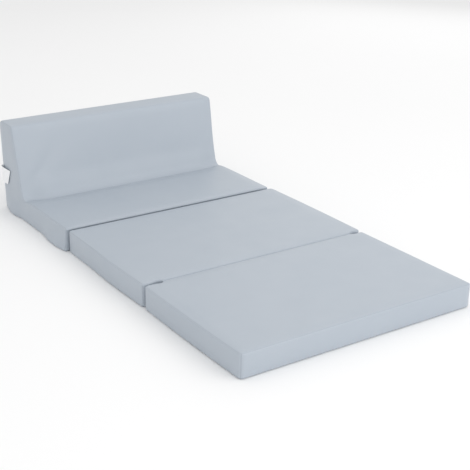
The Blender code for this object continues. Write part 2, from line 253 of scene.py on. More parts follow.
def woven(name, colour, thread, roughness, sheen, dip, flat=None):
    """Plain weave: threads of one width both ways, each a little darker where it dips under the next.

    On a piece that was cut flat to a size and then bent, the threads follow its own UV map. Real threads
    are too fine to show, so both cloths have theirs two to three times as thick.
    """
    made, tree, place = finish(name, {"Roughness": roughness, "Sheen Weight": sheen})
    ways = ("X", "Z")
    if flat:
        unwrapped = add(tree, "TexCoord", output="UV")
        place = add(tree, "Mapping", {"Vector": unwrapped, "Scale": (*flat, 1)})
        ways = ("X", "Y")
    rows = [add(tree, "TexWave", {"Vector": place, "Scale": WAVE / (2 * thread), "Distortion": 0.4,
                                  "Detail": 1.0}, "Fac", bands_direction=way) for way in ways]
    both = add(tree, "Math", dict(enumerate(rows)), operation="MULTIPLY")
    add(tree, "Mix", {FACTOR: both, FIRST: darker(colour, 1 - dip), SECOND: colour}, MIXED, "Base Color",
        data_type="RGBA")
    add(tree, "Bump", {"Height": both, "Strength": 3 * dip, "Distance": thread / 4}, feeds="Normal")
    return made


def nylon_coil():
    """Extruded nylon monofilament, wound and heat-set: hard, with a dull shine."""
    made, tree, place = finish("nylon_coil", {"Roughness": 0.38, "IOR": 1.53})
    patches = add(tree, "TexNoise", {"Vector": place, "Scale": 1 / (12 * MM), "Detail": 2.0})
    colour = colours().coil
    add(tree, "Mix", {FACTOR: patches, FIRST: darker(colour, 0.85), SECOND: colour}, MIXED, "Base Color",
        data_type="RGBA")
    return made


def twisted_thread():
    """Corespun polyester thread: matt, with the slanting plies of its twist."""
    made, tree, place = finish("twisted_thread", {"Roughness": 0.7})
    plies = add(tree, "TexWave", {"Vector": place, "Scale": WAVE / (0.8 * MM), "Distortion": 0.2}, "Fac",
                bands_direction="DIAGONAL")
    colour = colours().thread
    add(tree, "Mix", {FACTOR: plies, FIRST: darker(colour, 0.75), SECOND: colour}, MIXED, "Base Color",
        data_type="RGBA")
    add(tree, "Bump", {"Height": plies, "Strength": 0.5, "Distance": 0.1 * MM}, feeds="Normal")
    return made


def plated_zinc():
    """Die-cast zinc with a nickel plating: soft reflections, and fine scratches from use."""
    made, tree, place = finish("plated_zinc", {"Roughness": 0.3, "Metallic": 1.0})
    scratches = add(tree, "TexNoise", {"Vector": place, "Scale": 1 / (0.9 * MM), "Detail": 5.0})
    add(tree, "Mix", {FACTOR: scratches, FIRST: colours().slider, SECOND: colours().slider_worn}, MIXED,
        "Base Color", data_type="RGBA")
    add(tree, "MapRange", {"Value": scratches, "To Min": 0.2, "To Max": 0.42}, feeds="Roughness")
    return made


def matt_floor():
    """Painted studio floor: plain, matt and pale."""
    made, tree, place = finish("matt_floor", {"Roughness": 0.9})
    cloud = add(tree, "TexNoise", {"Vector": place, "Scale": 1 / 0.8, "Detail": 2.0})
    colour = colours().floor
    add(tree, "Mix", {FACTOR: cloud, FIRST: colour, SECOND: darker(colour, 0.99)}, MIXED, "Base Color",
        data_type="RGBA")
    return made


def finish_of(name):
    """A finish by its name, made when it is first asked for."""
    makers = {
        "soft_vinyl": soft_vinyl,
        "woven_tape": lambda: woven("woven_tape", colours().tape, 0.55 * MM, 0.85, 0.2, 0.18),
        "woven_satin": lambda: woven("woven_satin", colours().label, 0.6 * MM, 0.55, 0.3, 0.05, LABEL_CUT),
        "nylon_coil": nylon_coil,
        "twisted_thread": twisted_thread,
        "plated_zinc": plated_zinc,
        "matt_floor": matt_floor,
    }
    return bpy.data.materials.get(name) or makers[name]()


# Hand tools


def to_mode(mode):
    bpy.ops.object.mode_set(mode=mode)


def start_clean():
    """Object mode, with nothing selected."""
    if bpy.context.object and bpy.context.object.mode != "OBJECT":
        to_mode("OBJECT")
    bpy.ops.object.select_all(action="DESELECT")


def hold(piece):
    """Makes a piece the only one that is selected, and the active one."""
    start_clean()
    piece.select_set(True)
    bpy.context.view_layer.objects.active = piece


def settled(name):
    """Names a new primitive, and puts its size and place in its mesh."""
    piece = bpy.context.active_object
    piece.name = piece.data.name = name
    bpy.ops.object.transform_apply(location=True, rotation=True, scale=True)
    return piece


def add_box(name, low, high):
    """A cube between two corners, in edit mode."""
    start_clean()
    bpy.ops.mesh.primitive_cube_add(size=1, location=(low + high) / 2, scale=high - low)
    piece = settled(name)
    to_mode("EDIT")
    return piece


def pick(kind, test):
    """In edit mode, selects what passes the test, and stops if that is nothing."""
    mesh = bpy.context.edit_object.data
    bpy.ops.mesh.select_mode(type=kind)
    bpy.ops.mesh.select_all(action="DESELECT")
    shape = bmesh.from_edit_mesh(mesh)
    items = {"VERT": shape.verts, "EDGE": shape.edges, "FACE": shape.faces}[kind]
    found = [item for item in items if test(item)]
    if not found:
        raise RuntimeError(f"{bpy.context.edit_object.name}: nothing to select")
    for item in found:
        item.select_set(True)
    shape.select_flush_mode()
    bmesh.update_edit_mesh(mesh)


def both_ends(test):
    """An edge passes if both of its ends do."""
    return lambda edge: all(test(corner.co) for corner in edge.verts)


def round_off(test, offset, steps=ARC_STEPS):
    """Rounds the edges that pass a test."""
    pick("EDGE", test)
    bpy.ops.mesh.bevel(offset=offset, segments=steps, profile=0.5, affect="EDGES")


def cut(axis, places, test=lambda face: True):
    """Cuts the faces that pass a test across an axis at each place."""
    normal = Matrix.Identity(3)[axis]
    for place in places:
        pick("FACE", test)
        bpy.ops.mesh.bisect(plane_co=normal * place, plane_no=normal)


def steps_between(start, end, longest):
    """Even places from start to end, both included, no further apart than longest."""
    count = max(1, round(abs(end - start) / longest + 0.499))
    return [start + (end - start) * step / count for step in range(count + 1)]


def read_vectors(mesh, name):
    flat = np.zeros(len(mesh.vertices) * 3)
    mesh.vertices.foreach_get(name, flat)
    return flat.reshape(-1, 3)


def points_of(mesh):
    return read_vectors(mesh, "co")


def place_points(mesh, points):
    mesh.vertices.foreach_set("co", np.asarray(points, float).ravel())
    mesh.update()


def use(piece, kind, **settings):
    """Adds a modifier with its settings and applies it."""
    hold(piece)
    made = piece.modifiers.new(kind.lower(), kind)
    for name, value in settings.items():
        setattr(made, name, value)
    bpy.ops.object.modifier_apply(modifier=made.name)


def soften(piece, width, segments=2):
    """Breaks the sharp edges of a finished piece."""
    use(piece, "BEVEL", width=width, segments=segments, limit_method="ANGLE")


def join(name, pieces):
    """Several shells as one piece."""
    hold(pieces[0])
    for other in pieces[1:]:
        other.select_set(True)
    bpy.ops.object.join()
    pieces[0].name = pieces[0].data.name = name
    return pieces[0]


def dress(piece, finish_name, smooth=pi / 5):
    """Gives a piece its finish and its smooth shading."""
    hold(piece)
    piece.data.materials.clear()
    piece.data.materials.append(finish_of(finish_name))
    bpy.ops.object.shade_smooth_by_angle(angle=smooth)


def ramp(value, start, end):
    """From 0 at start to 1 at end, smoothly."""
    share = np.clip((value - start) / (end - start), 0, 1)
    return share * share * (3 - 2 * share)


def fade(value, start, end):
    """From 1 at start to 0 at end, smoothly."""
    return 1 - ramp(value, start, end)


def mound(value, middle, flat, end):
    """1 up to a distance from the middle, and smoothly down to 0 at a further one."""
    return fade(np.abs(value - middle), flat, end)


def moved(points, axis, amount):
    """Moves of all points along one axis."""
    moves = np.zeros_like(points)
    moves[:, axis] = amount
    return moves


# Stuffing

STUFFING_FRAMES, PATCH_VOXELS = 12, 3
QUICK_SWELL, UNEVEN_WAVE = 6 * MM, 150 * MM


def stuffed(piece, pinned):
    """Rest points and moves of a remeshed copy of a cover that is blown up as cloth, then removed."""
    hold(piece)
    bpy.ops.object.duplicate()
    copy = bpy.context.active_object
    copy.data.remesh_voxel_size = sizes().voxel
    bpy.ops.object.voxel_remesh()
    rest = points_of(copy.data)
    group = copy.vertex_groups.new(name="pinned")
    group.add([int(index) for index in np.flatnonzero(pinned(rest))], 1.0, "REPLACE")
    cloth = copy.modifiers.new("stuffing", "CLOTH")
    vinyl = cloth.settings
    vinyl.quality = 5
    vinyl.mass = 0.35
    vinyl.tension_stiffness = vinyl.compression_stiffness = 30
    vinyl.shear_stiffness = 12
    vinyl.bending_stiffness = 3
    vinyl.use_pressure = True
    vinyl.uniform_pressure_force = 1.2
    vinyl.vertex_group_mass = group.name
    vinyl.effector_weights.gravity = 0
    cloth.point_cache.frame_start = 1
    cloth.point_cache.frame_end = STUFFING_FRAMES
    for number in range(1, STUFFING_FRAMES + 1):
        bpy.context.scene.frame_set(number)
    blown = copy.evaluated_get(bpy.context.evaluated_depsgraph_get())
    moves = points_of(blown.data) - rest
    bpy.context.scene.frame_set(1)
    spent = copy.data
    bpy.data.objects.remove(copy)
    bpy.data.meshes.remove(spent)
    return rest, moves


def carried_over(points, rest, moves):
    """The moves of the remeshed copy near each point of the real mesh, evened out over a round patch."""
    reach = PATCH_VOXELS * sizes().voxel
    tree = kdtree.KDTree(len(rest))
    for index, point in enumerate(rest):
        tree.insert(point, index)
    tree.balance()
    found = np.zeros_like(points)
    for index, point in enumerate(points):
        near = tree.find_range(point, reach)
        weights = (1 - (np.array([distance for _, _, distance in near]) / reach) ** 2) ** 2
        found[index] = weights @ moves[[number for _, number, _ in near]] / weights.sum()
    return found


def softly_capped(amount, most):
    return most * np.tanh(amount / most)


def stuff(piece, pinned, fullness, free_sides, seed):
    """Swells a cover: faces crown out and free sides stand out, while pinned parts keep their places.

    The unevenness is smooth noise, the same on each run.
    """
    size = sizes()
    start, normals = points_of(piece.data), read_vectors(piece.data, "normal")
    rest, moves = stuffed(piece, pinned)
    outward = np.einsum("ij,ij->i", carried_over(start, rest, moves), normals)
    outward = np.where(outward > 0, softly_capped(outward, size.swell), softly_capped(outward, size.draw_in))
    uneven = np.array([noise.noise(Vector(point) / UNEVEN_WAVE + Vector((seed, 0, 0))) for point in start])
    share = fullness(start, normals)
    points = start + normals * (share * (outward - size.slack + uneven * size.ripple))[:, None]
    points += normals * (free_sides(start, normals) * size.plump)
    points[:, Z] = np.maximum(points[:, Z], 0)
    return points


# Sewing


def sew(piece, depths):
    """Turns the mesh lines on the seams into narrow grooves, and notes how deep they are for the finish, which
    paints them darker by that depth: partly dust, partly painted shade.

    The depths are shares of the deepest seam's, one for each vertex, and 0 where there is no seam.
    """
    size = sizes()
    places = kdtree.KDTree(int((depths > 0).sum()))
    points = points_of(piece.data)
    for index in np.flatnonzero(depths):
        places.insert(points[index], int(index))
    places.balance()
    hold(piece)
    to_mode("EDIT")
    round_off(lambda edge: all(depths[corner.index] > 0 for corner in edge.verts), size.seam_width / 2, 2)
    shape = bmesh.from_edit_mesh(piece.data)
    groove = {face.index for face in shape.faces if face.select}
    bottom = {vert.index: depths[places.find(vert.co)[1]] for vert in shape.verts
              if vert.link_faces and all(face.index in groove for face in vert.link_faces)}
    for depth in sorted(set(bottom.values())):
        pick("VERT", lambda vert: bottom.get(vert.index) == depth)
        bpy.ops.transform.shrink_fatten(value=-size.seam_depth * depth)
    to_mode("OBJECT")
    # These depths also set how much painted shade and dust the finish puts in each seam
    note = piece.data.attributes.new("seam", "FLOAT", "POINT")
    values = np.zeros(len(piece.data.vertices), np.float32)
    for index, depth in bottom.items():
        values[index] = depth
    note.data.foreach_set("value", values)


def cushion_nodes(body):
    return [node for node in frame["record"]["behaviour"]["bodies"][body] if node.endswith(CUSHION_ENDS)]


def extent(nodes):
    """Lowest and highest corner round several CAD nodes."""
    boxes = [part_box(node) for node in nodes]
    return (Vector(min(low[axis] for low, _ in boxes) for axis in (X, Y, Z)),
            Vector(max(high[axis] for _, high in boxes) for axis in (X, Y, Z)))


def sewn_cushion(piece, body, points, depths):
    """Sews and dresses a stuffed cushion, hangs it on its body and hides the CAD nodes that it stands for."""
    place_points(piece.data, points)
    sew(piece, depths)
    use(piece, "SUBSURF", levels=1, render_levels=1)
    dress(piece, "soft_vinyl", pi / 3)
    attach(piece, body)
    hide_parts(*cushion_nodes(body))


# Slots, gaps and hinges' ends

LIP, PINNED_DEPTH, FLOOR_FADE, GAP_FADE = 0.4 * MM, 2 * MM, 20 * MM, 22 * MM


def zip_levels(body):
    """Lower edge, middle and upper edge of the slot that a zip lies in."""
    low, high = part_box(f"{body}_zip_tape")
    middle, half = (low.z + high.z) / 2, sizes().zip_slot / 2
    return middle - half, middle, middle + half


def sink_zip_slot(levels, end):
    """Sinks the slot for the zip into the rear face, up to a distance from the middle."""
    lower, _, upper = levels
    pick("FACE", lambda face: face.normal.y > 0.9 and lower < face.calc_center_median().z < upper
         and abs(face.calc_center_median().x) < end)
    bpy.ops.mesh.inset(thickness=LIP, depth=-sizes().zip_recess)
    to_mode("OBJECT")


def top_hinge_ends():
    """Left and right end of the upper hinge's strip, which stops further from the left side."""
    return sizes().hinge_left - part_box("foot_right_side")[1].x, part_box("foot_hinge_leaf")[1].x


def bottom_hinge_ends():
    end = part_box("back_hinge_leaf")[1].x
    return -end, end


def past_ends(points, ends):
    """How far each point lies past the nearer end of a hinge, and below 0 between the two ends."""
    left, right = ends
    return np.maximum(left - points[:, X], points[:, X] - right)


def drawn_beside_top_hinge(points):
    """How far a face is drawn in: where it is free under the upper hinge, and most right past its ends."""
    size = sizes()
    past, height = past_ends(points, top_hinge_ends()), points[:, Z]
    beyond = ramp(past, 0, 6 * MM)
    under = fade(height, 40 * MM, 54 * MM)
    hole = beyond * fade(past, 8 * MM, 40 * MM) * ramp(height, 20 * MM, 50 * MM)
    return size.gap_draw * np.maximum(under, beyond) + size.slot_draw * beyond + size.slot_hole * hole


def above_bottom_hinge(points):
    """1 where a face is free over the lower hinge and past its ends."""
    beyond = ramp(past_ends(points, bottom_hinge_ends()), 0, 8 * MM)
    return np.maximum(ramp(points[:, Z], 24 * MM, 34 * MM), beyond)


def gap_opened(points, face, way, draw):
    """Draws in a face that meets another cushion, so that a dark gap shows between the two."""
    return moved(points, Y, -way * fade((face - points[:, Y]) * way, 4 * MM, 32 * MM) * draw)


def sunk_to_hinge(points, face, top):
    """The upper hinge pulls the tops of its two cushions down a little."""
    near = mound(points[:, Y], face, 0, 16 * MM) * ramp(points[:, Z], top - 20 * MM, top - 6 * MM)
    return moved(points, Z, -near * sizes().valley)


# Flat cushions

# How far their sides stand out, as shares of the plump: in the middle, how much less toward the ends, and
# how much more at the right of the middle cushion, at its rear left, and at the front right of the foot
SIDE_SHARE, END_SHARE = 1.9, 0.9
MIDDLE_RIGHT_SHARE, MIDDLE_LEFT_SHARE, FOOT_RIGHT_SHARE = 1.3, -1.6, 1.4


def flat_cushion(body, joined_in_front, joined_behind, seed):
    """A flat cushion: boxed cover with upright corner seams, top and bottom seams and a zip slot behind."""
    size = sizes()
    low, high = extent(cushion_nodes(body))
    middle, half = (low + high) / 2, (high - low) / 2
    levels = zip_levels(body)

    piece = add_box(f"{body}_cushion", low, high)
    round_off(lambda edge: abs(edge.verts[0].co.z - edge.verts[1].co.z) > half.z, size.corner)
    round_off(lambda edge: all(half.z - abs(vert.co.z - middle.z) < SMALL for vert in edge.verts)
              and abs(edge.verts[0].co.z - edge.verts[1].co.z) < SMALL, size.edge)
    for axis in (X, Y):
        reach = half[axis] - size.corner - 2 * MM
        cut(axis, [middle[axis] + place for place in steps_between(-reach, reach, size.cell)])
    above, below = high.z - size.edge - MM, low.z + size.edge + MM
    cut(Z, sorted({below, *levels, (below + levels[0]) / 2, (levels[-1] + above) / 2, above}))
    sink_zip_slot(levels, half.x - size.corner - 2 * MM)

    inward = np.array(half) - np.abs(points_of(piece.data) - np.array(middle))
    at_rim = np.abs(inward[:, Z] - MID_ROLL * size.edge) < SMALL
    at_corner = (np.abs(inward[:, X] - inward[:, Y]) < SMALL) & (inward[:, X] < size.corner)
    depths = np.where(at_corner & (inward[:, Z] > MID_ROLL * size.edge - SMALL), CORNER_SEAM, 0)
    depths = np.where(at_rim, RIM_SEAM, depths)

    def pinned(where):
        _, y, z = where.T
        return ((z < low.z + PINNED_DEPTH) | joined_behind & (y > high.y - PINNED_DEPTH)
                | joined_in_front & (y < low.y + PINNED_DEPTH))

    def fullness(where, normals):
        """0 on the floor and on faces that meet another cushion, 1 on the free faces."""
        _, y, z = where.T
        free = ramp(z, low.z, low.z + FLOOR_FADE)
        if joined_behind:
            free = np.minimum(free, ramp(high.y - y, 0, GAP_FADE))
        if joined_in_front:
            free = np.minimum(free, ramp(y - low.y, 0, GAP_FADE))
        return free

    def free_sides(where, normals):
        """How far the foam may press the cover outward, for each axis."""
        y, right = where[:, Y], normals[:, X] > 0
        across = SIDE_SHARE - END_SHARE * ((y - middle.y) / half.y) ** 2
        if joined_in_front:
            rearward = ramp(y, middle.y - 50 * MM, middle.y + 100 * MM)
            across += np.where(right, MIDDLE_RIGHT_SHARE, MIDDLE_LEFT_SHARE * rearward)
        else:
            across += np.where(right, FOOT_RIGHT_SHARE * fade(y, low.y, low.y + 200 * MM), 0)
        along = np.where(normals[:, Y] > 0, not joined_behind, not joined_in_front)
        return np.stack([across, along, 0 * y], axis=1)

    points = stuff(piece, pinned, fullness, free_sides, seed)
    if joined_in_front:
        points += gap_opened(points, low.y, -1, drawn_beside_top_hinge(points))
        points += sunk_to_hinge(points, low.y, high.z)
        points += gap_opened(points, high.y, 1, size.rear_draw * above_bottom_hinge(points))
    else:
        points += turnings(points, low, high)
        points += gap_opened(points, high.y, 1, drawn_beside_top_hinge(points))
    points += sunk_to_hinge(points, high.y, high.z)
    sewn_cushion(piece, body, points, depths)


def turnings(points, low, high):
    """The seam turnings press the cover outward beside the upright seams of the front."""
    size = sizes()
    x, y, z = points.T
    side = np.minimum(x - low.x, high.x - x)
    bulge = ramp(side, 2 * MM, 6 * MM) * fade(side, size.turning - MM, size.turning + 2 * MM)
    upright = ramp(z, low.z, low.z + 8 * MM) * ramp(high.z - z, 2 * MM, 10 * MM)
    return moved(points, Y, -bulge * fade(y - low.y, 3 * MM, 8 * MM) * upright * size.turning_rise)


# Back section

# Seams between its panels, by their place in the outline: floor front and rear, rear top, seat front
PANEL_SEAMS = (0, 1, 2, 5)
CREASE_CORNER = 4


def back_cushion(seed):
    """The section with the backrest: its side outline is drawn, rounded, and cut into cells."""
    size = sizes()
    low, high = extent(cushion_nodes("back"))
    half = (high.x - low.x) / 2
    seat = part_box("back_seat_cover")[1].z
    near, top = low.y, high.z
    far = high.y - REST_LEAN
    crease, rest_front = far - REST_SEAT_DEPTH, high.y - REST_TOP_DEPTH
    outline = [Vector(place) for place in
               ((near, 0), (far, 0), (high.y, top), (rest_front, top), (crease, seat), (near, seat))]
    radii = (FLOOR_EDGE, FLOOR_EDGE, REST_EDGE, REST_EDGE, CREASE, SEAT_EDGE)

    piece = add_box("back_cushion", Vector((low.x, near, 0)), Vector((high.x, far, seat)))
    cut(Y, [crease])
    pick("FACE", lambda face: face.normal.z > 0.99 and face.calc_center_median().y > crease)
    bpy.ops.mesh.extrude_region_move(TRANSFORM_OT_translate={"value": (0, 0, top - seat)})
    for height, place, move in ((top, crease, rest_front - crease), (top, far, REST_LEAN),
                                (seat, far, REST_LEAN * seat / top)):
        pick("VERT", lambda vert: abs(vert.co.z - height) < SMALL and abs(vert.co.y - place) < SMALL)
        bpy.ops.transform.translate(value=(0, move, 0))
    pick("EDGE", lambda edge: all(abs(abs(vert.co.x) - half) < SMALL for vert in edge.verts)
         and all(abs(face.normal.x) > 0.99 for face in edge.link_faces))
    bpy.ops.mesh.dissolve_edges()

    mids, turns = [], []
    for index, radius in enumerate(radii):
        corner = outline[index]
        before = (corner - outline[index - 1]).normalized()
        after = (outline[(index + 1) % len(outline)] - corner).normalized()
        turn = atan2(before.cross(after), before.dot(after))
        aim = (after - before).normalized()
        mids.append((corner + aim * radius / cos(turn / 2), -aim, radius))
        turns.append(turn)
        round_off(both_ends(lambda point: (point.yz - corner).length < SMALL), radius * tan(abs(turn) / 2))
    round_off(lambda edge: abs(edge.verts[0].co.x + edge.verts[1].co.x) > 2 * half - SMALL, size.side_edge)

    reach = half - size.side_edge - 6 * MM
    cut(X, steps_between(-reach, reach, size.cell))
    levels = zip_levels("back")
    above_zip = levels[-1]
    cut(Z, [*levels, above_zip + 8 * MM, above_zip + 18 * MM, seat - 14 * MM, seat - 10 * MM])
    cut(Z, steps_between(seat + 24 * MM, top - REST_EDGE - 6 * MM, size.cell))
    cut(Y, steps_between(near + SEAT_EDGE + 4 * MM, crease - 24 * MM, size.cell))
    cut(Y, steps_between(crease + 8 * MM, rest_front - 4 * MM, size.cell),
        lambda face: face.calc_center_median().z < seat - 2 * MM or abs(face.normal.x) > 0.99)
    cut(Y, steps_between(rest_front + REST_EDGE + 4 * MM, far - FLOOR_EDGE - 4 * MM, size.cell))
    sink_zip_slot(levels, reach)

    points = points_of(piece.data)
    side_seam = half - MID_ROLL * size.side_edge
    across = np.abs(points[:, X])
    depths = np.where(np.abs(across - side_seam) < SMALL, RIM_SEAM, 0)
    for index in PANEL_SEAMS:
        centre, aim, radius = mids[index]
        offset = points[:, Y:] - np.array(centre)
        along = np.abs(offset @ np.array(aim))
        off_line = np.abs(offset[:, 0] * aim.y - offset[:, 1] * aim.x)
        on_arc = (off_line < SMALL) & (along < radius + size.side_edge) & (along > MM)
        depths = np.where(on_arc & (across < side_seam - SMALL), RIM_SEAM, depths)
    seam = crease - mids[CREASE_CORNER][-1] * tan(abs(turns[CREASE_CORNER]) / 2)
    in_crease = (np.abs(points[:, Y] - seam) < SMALL) & (np.abs(points[:, Z] - seat) < SMALL)
    depths = np.where(in_crease & (across < side_seam - SMALL), CREASE_SEAM, depths)

    def pinned(where):
        return (where[:, Z] < PINNED_DEPTH) | (where[:, Y] < near + PINNED_DEPTH)

    def fullness(where, normals):
        """0 on the floor, on the front face and round the zip, 1 on the free faces."""
        _, y, z = where.T
        free = np.minimum(ramp(z, 0, FLOOR_FADE), ramp(y - near, 0, GAP_FADE))
        at_zip = (normals[:, Y] > 0.8) & (z < 60 * MM)
        return np.where(at_zip, np.minimum(free, ramp(z, 40 * MM, 60 * MM)), free)

    def free_sides(where, normals):
        """The rest stands out at its sides, back and top, and the section sits a little to the left."""
        _, y, z = where.T
        right, rearward, upward = normals.T > 0
        above = ramp(z, seat, top)
        across = np.where(right, 4.2 * above - 2.0 - fade(y, near, crease), 1.2 + 0.3 * above)
        along = np.where(rearward, ramp(z, 50 * MM, 110 * MM), 0.3 * above)
        return np.stack([across, along, np.where(upward, 1.1 * above, 0)], axis=1)

    points = stuff(piece, pinned, fullness, free_sides, seed)
    points += pushed_out_corner(points, half, near)
    points += pulled_face(points, half, seat, top, crease, rest_front)
    points += pressed_crease(points, half, seat, top, crease, rest_front, seam)
    points += soft_right_edge(points, half, seat, seam)
    under_lip = ramp(points[:, Z], 26 * MM, 38 * MM) * fade(points[:, Z], seat - 12 * MM, seat - 6 * MM)
    points += gap_opened(points, near, -1, size.gap_draw * above_bottom_hinge(points) + size.recess * under_lip)
    sewn_cushion(piece, "back", points, depths)


def pushed_out_corner(points, half, near):
    """At the floor the loose cover stands out at the left, most behind the gap and near the rear corner."""
    x, y, z = points.T
    behind = y - near
    out = 4.5 * MM * fade(behind, 420 * MM, 500 * MM)
    out += 9.5 * MM * mound(behind, 85 * MM, 25 * MM, 105 * MM)
    out += 8.5 * MM * mound(behind, 425 * MM, 15 * MM, 75 * MM)
    return moved(points, X, -out * fade(z, 8 * MM, 55 * MM) * fade(x + half, 0, 40 * MM))


def pulled_face(points, half, seat, top, crease, rest_front):
    """The pulled vinyl on the backrest: a soft fold that runs up from the lower left corner."""
    fold_depth, fold_rise, fold_spread = 3 * MM, radians(44), radians(9)
    x, y, z = points.T
    face = crease + (rest_front - crease) * np.clip((z - seat) / (top - seat), 0, 1)
    on_face = fade(y - face, 4 * MM, 20 * MM) * ramp(z, seat + 2 * MM, seat + 25 * MM)
    across, up = x + half - 6 * MM, z - seat - 15 * MM
    along = np.hypot(across, up)
    fold = np.exp(-((np.arctan2(up, np.maximum(across, MM)) - fold_rise) / fold_spread) ** 2)
    fold *= ramp(along, 10 * MM, 60 * MM) * fade(along, 120 * MM, 240 * MM)
    return moved(points, Y, on_face * fold * fold_depth)


def pressed_crease(points, half, seat, top, crease, rest_front, seam):
    """The seat sinks to the seam before the backrest, whose foot swells over it and lies back at the sides."""
    size = sizes()
    x, y, z = points.T
    height = np.clip((z - seat) / (top - seat), 0, 1)
    lean = (rest_front - crease) / (top - seat)
    behind_face = y - crease - lean * (top - seat) * height
    shown = fade(behind_face, 6 * MM, 60 * MM) * ramp(z, seat - 40 * MM, seat - 6 * MM)
    before = 1 - np.clip((seam - y) / (75 * MM), 0, 1)
    sunk = shown * before ** 2 * fade(z - seat, 0, 50 * MM) * size.sink
    inside = ramp(half - np.abs(x), 8 * MM, 90 * MM)
    swollen = inside * fade(z - seat, 0, 75 * MM) * size.foot_swell
    laid_back = (1 - inside) * (1 - height) * 8 * MM
    stood_up = height * 5 * MM
    moves = moved(points, Z, -sunk)
    moves[:, Y] = shown * (before * (laid_back - swollen) - stood_up)
    moves[:, Y] -= sunk * lean * ramp(y, seam - 10 * MM, crease)
    return moves


def soft_right_edge(points, half, seat, seam):
    """The seat's right edge gives way, with less foam under it."""
    x, y, z = points.T
    on_seat = fade(y, seam - 60 * MM, seam) * ramp(z, seat - 45 * MM, seat - 6 * MM)
    return moved(points, Z, -fade(half - x, 0, 50 * MM) * on_seat * 4 * MM)


# Hinge strips

# How far a leaf's face is from the gap, from the face of its cushion and from the seam of its cap
LEAF_ROOM, FACE_ROOM, SEAM_ROOM = 0.3 * MM, 0.6 * MM, 1.9 * MM

# How far a cap reaches over the gap on each side, and the places that its sagging section goes through
CAP_HEM = 3 * MM
CAP_SHARES = (-1, -0.8, -0.55, -0.3, 0, 0.3, 0.55, 0.8, 1)
FLAP_CELL, STRIP_CELL = 5 * MM, 14 * MM


def drawn_strip(name, profile, left, right):
    """A strip across the sofa: one edge is drawn along a profile of (y, z) places, then thickened."""
    (y, z), (next_y, next_z) = profile[:2]
    start_clean()
    bpy.ops.mesh.primitive_plane_add(size=2)
    piece = settled(name)
    place_points(piece.data, [(left, y, z), (right, y, z), (left, next_y, next_z), (right, next_y, next_z)])
    to_mode("EDIT")
    for here, after in zip(profile[1:], profile[2:]):
        pick("EDGE", both_ends(lambda point: (point.yz - Vector(here)).length < SMALL))
        bpy.ops.mesh.extrude_edges_move(
            TRANSFORM_OT_translate={"value": (0, after[0] - here[0], after[1] - here[1])})
    cut(X, steps_between(left, right, STRIP_CELL)[1:-1])
    to_mode("OBJECT")
    use(piece, "SOLIDIFY", thickness=sizes().strip, offset=0, use_even_offset=True)
    soften(piece, 0.2 * MM)
    dress(piece, "soft_vinyl")
    return piece


def hinge_strip(name, first, second, near_leaf, far_leaf, upper):
    """A fabric hinge: a cap from seam to seam over the gap, and a flap sewn down each cushion."""
    size = sizes()
    near_low, near_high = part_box(near_leaf)
    far_low, far_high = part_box(far_leaf)
    left, right = top_hinge_ends() if upper else bottom_hinge_ends()
    gap_low, gap_high = near_low.y - LEAF_ROOM, far_high.y + LEAF_ROOM
    axis_y = (gap_low + gap_high) / 2
    half_cap = (gap_high - gap_low) / 2 + CAP_HEM
    way = 1 if upper else -1
    face = near_high.z + FACE_ROOM if upper else near_low.z - FACE_ROOM
    seam_level = face - way * (SEAM_ROOM + (size.valley if upper else 0))
    lowest = seam_level - way * size.strip_sag

    profile = [(axis_y + half_cap * share, seam_level + (lowest - seam_level) * (1 - share * share))
               for share in CAP_SHARES]
    cap = drawn_strip(name, profile, left, right)
    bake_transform(cap)

    inner = lowest - way * size.strip
    outer = near_low.z if upper else near_high.z
    for body, leaf, low, high in ((first, near_leaf, near_low, near_high),
                                  (second, far_leaf, far_low, far_high)):
        places = [((low.y + high.y) / 2, level) for level in steps_between(inner, outer, FLAP_CELL)]
        flap = drawn_strip(leaf.replace("leaf", "flap"), places, left, right)
        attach(flap, body)
        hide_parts(leaf)


# Zips

COIL_THICK, TURN_LONG, TURN_LEAN, TURN_OFFSET = 1 * MM, 2.9 * MM, radians(14), 0.9 * MM
TAPE_BOTTOM, TAPE_TOP, TAPE_LAP, TAPE_BEYOND = -0.75 * MM, -0.15 * MM, 0.2 * MM, 3 * MM
COIL_CHANNEL, TAPE_EDGE, STITCH_LINE = 2.6 * MM, 1 * MM, 2.2 * MM
COIL_LIFT = 0.55 * MM


def capsule(name, long, thick):
    """A rod along X with drawn-in ends, such as a stitch or a turn of a zip's coil."""
    start_clean()
    bpy.ops.mesh.primitive_cylinder_add(vertices=6, radius=thick / 2, depth=long - thick,
                                        rotation=(0, pi / 2, 0))
    piece = settled(name)
    to_mode("EDIT")
    for side in (-1, 1):
        pick("FACE", lambda face: face.normal.x * side > 0.99)
        bpy.ops.mesh.inset(thickness=thick * 0.22, depth=thick * 0.32)
    to_mode("OBJECT")
    return piece


def two_rows(name, long, thick, place, turn, end, pitch):
    """Two rows of capsules along X, one on each side of the middle, as separate shells of one mesh."""
    rows = []
    for side in (-1, 1):
        piece = capsule(name, long, thick)
        piece.data.transform(Matrix.Translation(place(side)) @ Matrix.Rotation(turn(side), 4, "Z"))
        piece.data.transform(Matrix.Translation((-end + pitch / 2, 0, 0)))
        use(piece, "ARRAY", count=int(2 * end / pitch), use_relative_offset=False, use_constant_offset=True,
            constant_offset_displace=(pitch, 0, 0))
        rows.append(piece)
    return join(name, rows)


